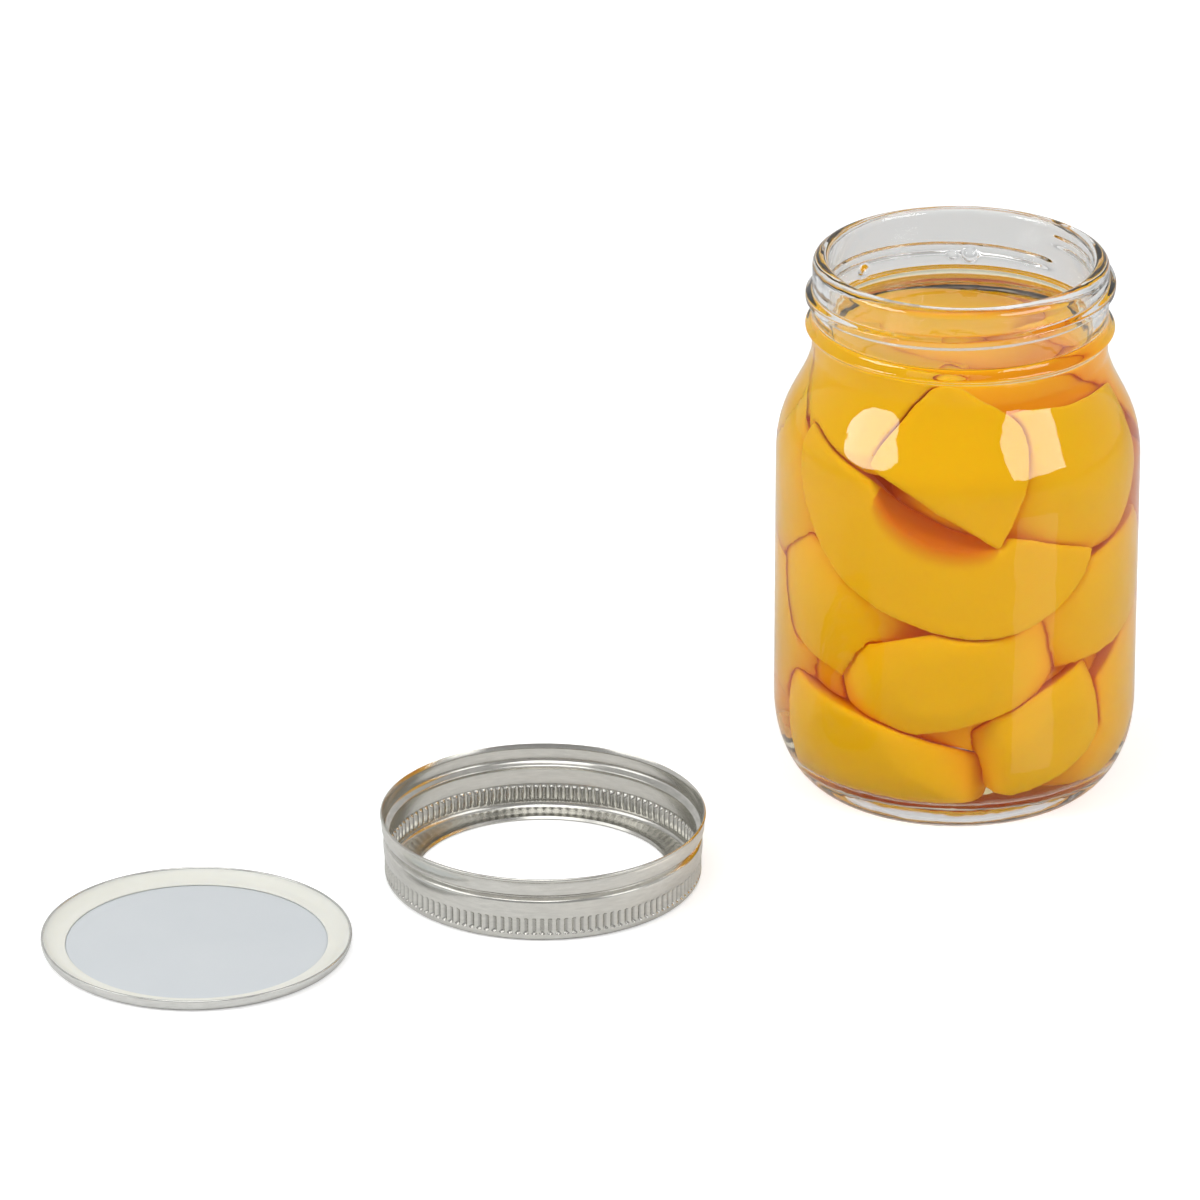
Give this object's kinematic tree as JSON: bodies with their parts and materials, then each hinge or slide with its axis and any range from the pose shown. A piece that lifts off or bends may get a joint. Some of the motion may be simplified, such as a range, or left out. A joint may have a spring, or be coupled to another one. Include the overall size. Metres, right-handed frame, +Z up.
{
  "type": "mason jar",
  "caption": "Round glass canning jar of preserved peach slices, open, with its flat sealing lid and threaded screw band lying upside down beside it.",
  "frame": {"origin": "middle of the footprint of the whole set, on the surface that it stands on", "axes": "+Z up out of the jar's mouth, +X from the loose lid towards the jar, +Y away from the viewer"},
  "size_m": [0.2466, 0.1686, 0.127],
  "materials": {
    "clear_glass": "polished clear soda-lime glass",
    "tinplate": "bright tin-plated steel, lightly satin",
    "lid_enamel": "tin-plated steel, pale blue-grey enamel on its inside",
    "sealing_compound": "glossy cream-white sealing compound",
    "peach_flesh": "wet translucent yellow-orange fruit flesh"
  },
  "bodies": {
    "jar": {"glass_jar": "clear_glass", "peach_slice_01": "peach_flesh", "peach_slice_02": "peach_flesh", "peach_slice_03": "peach_flesh", "peach_slice_04": "peach_flesh", "peach_slice_05": "peach_flesh", "peach_slice_06": "peach_flesh", "peach_slice_07": "peach_flesh", "peach_slice_08": "peach_flesh", "peach_slice_09": "peach_flesh", "peach_slice_10": "peach_flesh", "peach_slice_11": "peach_flesh", "peach_slice_12": "peach_flesh", "peach_slice_13": "peach_flesh", "peach_slice_14": "peach_flesh", "peach_slice_15": "peach_flesh", "peach_slice_16": "peach_flesh", "peach_slice_17": "peach_flesh", "peach_slice_18": "peach_flesh", "peach_slice_19": "peach_flesh", "peach_slice_20": "peach_flesh", "peach_slice_21": "peach_flesh", "peach_slice_22": "peach_flesh", "peach_slice_23": "peach_flesh"},
    "band": {"screw_band": "tinplate"},
    "lid": {"lid_disc": "lid_enamel", "sealing_ring": "sealing_compound"}
  },
  "joints": [
    {"name": "lid_turnover", "type": "hinge", "parent": "jar", "child": "lid", "pos_m": [-0.00345, -0.00345, 0.06438], "axis": [-0.4778, 0.8784, 0], "range_deg": [0, 180]},
    {"name": "band_turnover", "type": "hinge", "parent": "jar", "child": "band", "pos_m": [0.0348, 0.01495, 0.07243], "axis": [-0.5114, 0.8593, 0], "range_deg": [0, 180]}
  ]
}
